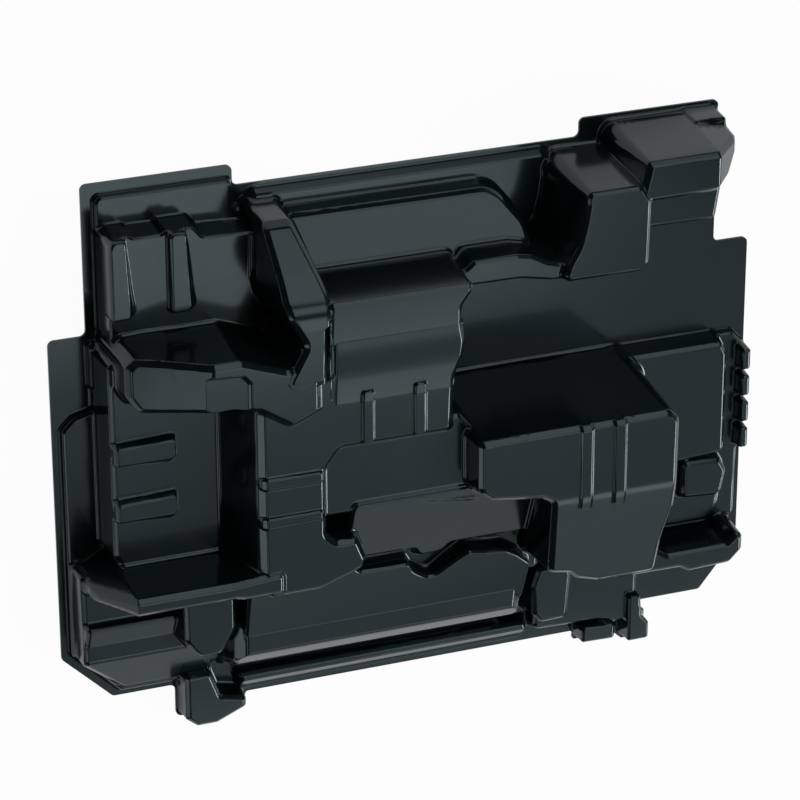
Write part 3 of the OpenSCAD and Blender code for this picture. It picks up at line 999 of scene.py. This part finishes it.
class Shader:
    """Builds the node tree of a material or of the world."""

    def __init__(self, tree: bpy.types.NodeTree) -> None:
        """Empties the tree and keeps it."""
        tree.nodes.clear()
        self.tree = tree

    def node(
        self,
        kind: str,
        settings: dict | None = None,
        inputs: dict | None = None,
        output: str | int = 0,
    ) -> Expr:
        """Adds one node.

        Args:
            kind: Type of the node.
            settings: Values set on the node itself before its sockets.
            inputs: Values or links of its sockets, by name or number.
            output: The output that is given back.

        Returns:
            That output.
        """
        made = self.tree.nodes.new(kind)
        for name, value in (settings or {}).items():
            setattr(made, name, value)
        for name, value in (inputs or {}).items():
            socket = made.inputs[name]
            if isinstance(value, Expr):
                self.tree.links.new(value.socket, socket)
            else:
                socket.default_value = value
        return Expr(self, made.outputs[output] if len(made.outputs) else None)


@dataclass(frozen=True)
class GlossySheet:
    """Glossy black formed plastic sheet."""

    name: str = "black_plastic"
    colour: tuple[float, float, float] = (0.005, 0.0105, 0.0115)
    gloss_tint: tuple[float, float, float] = (0.76, 0.98, 1.0)
    roughness: float = 0.15
    refraction: float = 1.5
    grain_scale: float = 190.0
    wave_scale: float = 16.0
    bump_depth: float = 0.0004
    bump_strength: float = 0.07
    wave_dulls: float = 0.05
    grain_dulls: float = 0.03
    grain_height: float = 0.05

    def material(self) -> bpy.types.Material:
        """The finish as a material with a faint wave and uneven gloss."""
        made = bpy.data.materials.new(self.name)
        made.use_nodes = True
        shader = Shader(made.node_tree)
        place = shader.node("ShaderNodeTexCoord", output="Object")
        wave = shader.node("ShaderNodeTexNoise", None, {
            "Vector": place, "Scale": self.wave_scale, "Detail": 2.0, "Roughness": 0.4,
        })
        grain = shader.node("ShaderNodeTexNoise", None, {
            "Vector": place, "Scale": self.grain_scale, "Detail": 3.0, "Roughness": 0.5,
        })
        even = self.roughness - (self.wave_dulls + self.grain_dulls) / 2
        rough = even + wave * self.wave_dulls + grain * self.grain_dulls
        bump = shader.node("ShaderNodeBump", None, {
            "Strength": self.bump_strength, "Distance": self.bump_depth,
            "Height": wave + grain * self.grain_height,
        })
        surface = shader.node("ShaderNodeBsdfPrincipled", None, {
            "Base Color": (*self.colour, 1.0), "Roughness": rough, "IOR": self.refraction,
            "Specular Tint": (*self.gloss_tint, 1.0), "Normal": bump,
        })
        shader.node("ShaderNodeOutputMaterial", None, {"Surface": surface})
        return made


@dataclass(frozen=True)
class WhiteTable:
    """Plain white table that the camera and the gloss see as white."""

    name: str = "white_table"
    colour: float = 0.8
    in_gloss: float = 0.5
    shadowless: float = 0.96

    def material(self) -> bpy.types.Material:
        """White paint that shows nearly white, and keeps a little of its shadow."""
        made = bpy.data.materials.new(self.name)
        made.use_nodes = True
        shader = Shader(made.node_tree)
        camera = shader.node("ShaderNodeLightPath", output="Is Camera Ray")
        gloss = shader.node("ShaderNodeLightPath", output="Is Glossy Ray")
        paint = shader.node("ShaderNodeBsdfDiffuse", None, {
            "Color": (self.colour, self.colour, self.colour, 1.0),
        })
        white = shader.node("ShaderNodeEmission", None, {"Color": (1.0, 1.0, 1.0, 1.0), "Strength": 1.0})
        share = camera.max(gloss * self.in_gloss) * self.shadowless
        mixed = shader.node("ShaderNodeMixShader", None, {0: share, 1: paint, 2: white})
        shader.node("ShaderNodeOutputMaterial", None, {"Surface": mixed})
        return made


# Studio


@dataclass(frozen=True)
class Lamp:
    """One soft panel lamp aimed at the tray.

    Args:
        name: Name of the lamp.
        place: Where it stands, in metres.
        width: Width of the panel.
        height: Height of the panel.
        glow: How bright the panel itself looks; a white sheet of paper is 1.
        target: What it is aimed at.
    """

    name: str
    place: tuple[float, float, float]
    width: float
    height: float
    glow: float
    target: tuple[float, float, float] = (0.0, 0.0, 0.03)

    def build(self) -> bpy.types.Object:
        """Adds the lamp to the scene."""
        data = bpy.data.lights.new(self.name, "AREA")
        data.shape, data.size, data.size_y = "RECTANGLE", self.width, self.height
        data.energy = self.glow * math.pi * self.width * self.height
        obj = bpy.data.objects.new(self.name, data)
        obj.location = self.place
        toward = Vector(self.target) - Vector(self.place)
        obj.rotation_euler = toward.to_track_quat("-Z", "Y").to_euler()
        bpy.context.scene.collection.objects.link(obj)
        return obj


@dataclass
class Studio:
    """Table, soft light and camera."""

    table_level: float = 0.0
    table_size: float = 9.0
    sky: float = 0.02
    lens: float = 171.36
    place: tuple[float, float, float] = (-0.596, 0.7935, 1.5745)
    right: tuple[float, float, float] = (0.936, -0.0018, 0.3526)
    up: tuple[float, float, float] = (0.151, 0.9056, -0.3965)
    lamps: list[Lamp] = field(default_factory=lambda: [
        Lamp("overhead", (0.55, -0.4, 2.2), 0.9, 1.1, 1.9, (0.55, -0.4, 0.0)),
        Lamp("fill", (0.75, -1.15, 2.25), 1.4, 0.6, 0.4, (0.75, -1.15, 0.0)),
        Lamp("front", (0.95, -1.75, 2.2), 1.2, 0.5, 2.4, (0.95, -1.75, 0.0)),
        Lamp("slope", (1.2, -2.75, 2.2), 1.4, 1.2, 0.85, (1.15, -2.65, 0.0)),
        Lamp("bay", (0.85, 0.8, 2.2), 1.0, 0.5, 1.7, (0.85, 0.8, 0.0)),
        Lamp("low", (0.62, -2.1, 0.46), 1.4, 0.9, 0.65),
        Lamp("right", (2.8, -1.3, 2.1), 1.4, 1.4, 14.0),
        Lamp("left", (-1.87, -0.92, 0.7), 0.6, 0.4, 2.0),
        Lamp("left_high", (-1.12, -0.92, 1.65), 0.5, 0.5, 1.8),
        Lamp("back", (0.6, 1.6, 1.35), 1.0, 1.4, 1.4),
    ])

    def build(self) -> None:
        """Adds the table, the lamps, the sky and the camera."""
        half = self.table_size / 2
        mesh = bpy.data.meshes.new("table")
        corners = [(-half, -half, 0), (half, -half, 0), (half, half, 0), (-half, half, 0)]
        mesh.from_pydata(corners, [], [(0, 1, 2, 3)])
        mesh.materials.append(WhiteTable().material())
        table = bpy.data.objects.new("table", mesh)
        table.location.z = self.table_level
        bpy.context.scene.collection.objects.link(table)
        for lamp in self.lamps:
            lamp.build()
        self._sky()
        self._camera()
        bpy.context.scene.view_settings.view_transform = "Standard"

    def _sky(self) -> None:
        """Even pale light from all round."""
        world = bpy.data.worlds.new("sky")
        world.use_nodes = True
        shader = Shader(world.node_tree)
        camera = shader.node("ShaderNodeLightPath", output="Is Camera Ray")
        strength = camera * (1.0 - self.sky) + self.sky
        light = shader.node("ShaderNodeBackground", None, {
            "Color": (1.0, 1.0, 1.0, 1.0), "Strength": strength,
        })
        shader.node("ShaderNodeOutputWorld", None, {"Surface": light})
        bpy.context.scene.world = world

    def _camera(self) -> None:
        """The camera at the photograph's angle."""
        data = bpy.data.cameras.new("camera")
        data.lens, data.sensor_width = self.lens, 36.0
        data.clip_start, data.clip_end = 0.05, 50.0
        camera = bpy.data.objects.new("camera", data)
        right = Vector(self.right).normalized()
        up = Vector(self.up)
        up = (up - right * up.dot(right)).normalized()
        back = right.cross(up)
        turn = Matrix((right, up, back)).transposed().to_4x4()
        camera.matrix_world = Matrix.Translation(Vector(self.place) + SHIFT) @ turn
        bpy.context.scene.collection.objects.link(camera)
        bpy.context.scene.camera = camera


def main() -> None:
    """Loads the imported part, dresses it and sets the studio."""
    logging.basicConfig(level=logging.INFO, format="%(message)s")
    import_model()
    relief = Relief([
        Rims(), UpperBay(), LowerBay(), Arms(), LeftCorner(), Island(), LowerPanel(), Channel(), Block(),
        LongBay(), UpperRight(), RightSide(), FootBosses(),
    ])
    log.info("forms: %d", len(relief.forms))
    tray = Tray(relief, Flange(), spacing=SPACING).build()
    finish = GlossySheet()
    tray.data.materials.clear()
    tray.data.materials.append(finish.material())
    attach(tray, "root")
    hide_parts("insert")
    Studio().build()


if __name__ == "__main__":
    main()
